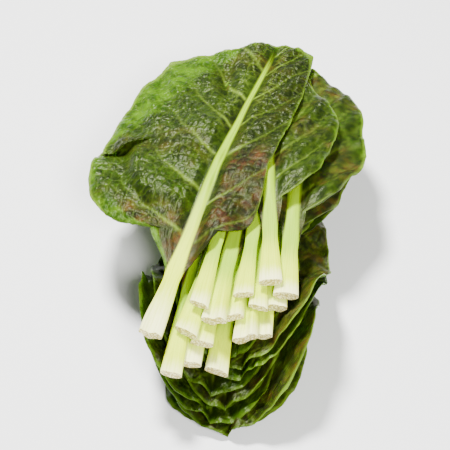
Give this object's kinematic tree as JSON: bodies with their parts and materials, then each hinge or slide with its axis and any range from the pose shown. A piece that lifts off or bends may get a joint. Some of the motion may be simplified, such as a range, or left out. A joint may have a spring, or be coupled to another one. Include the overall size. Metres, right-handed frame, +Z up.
{
  "type": "bundle of loose leafy greens",
  "caption": "Loose stack of broad, crinkled salad leaves on long pale stalks, laid both ways, with the cut stalks fanned out at the front.",
  "frame": {"origin": "middle of the stack's box, on the surface that it lies on", "axes": "+Z up, -Y towards the fanned cut stalks, +Y towards the tips of the upper leaves, +X to the right seen from the front"},
  "size_m": [0.1598, 0.2668, 0.0732],
  "materials": {
    "leaf_green": null,
    "leaf_purple": null
  },
  "bodies": {
    "root": {"lower_leaf_01": "leaf_green", "lower_leaf_02": "leaf_purple", "lower_leaf_03": "leaf_green", "lower_leaf_04": "leaf_green", "lower_leaf_05": "leaf_purple", "lower_leaf_06": "leaf_green", "lower_leaf_07": "leaf_green", "lower_leaf_08": "leaf_purple", "lower_leaf_09": "leaf_green", "upper_leaf_01": "leaf_purple", "upper_leaf_02": "leaf_green", "upper_leaf_03": "leaf_green", "upper_leaf_04": "leaf_purple", "upper_leaf_05": "leaf_green", "upper_leaf_06": "leaf_green", "upper_leaf_07": "leaf_purple", "upper_leaf_08": "leaf_green", "upper_leaf_09": "leaf_green", "upper_leaf_10": "leaf_purple", "upper_leaf_11": "leaf_green", "upper_leaf_12": "leaf_green", "upper_leaf_13": "leaf_purple", "upper_leaf_14": "leaf_green", "upper_leaf_15": "leaf_green", "top_leaf": "leaf_green"}
  },
  "joints": []
}
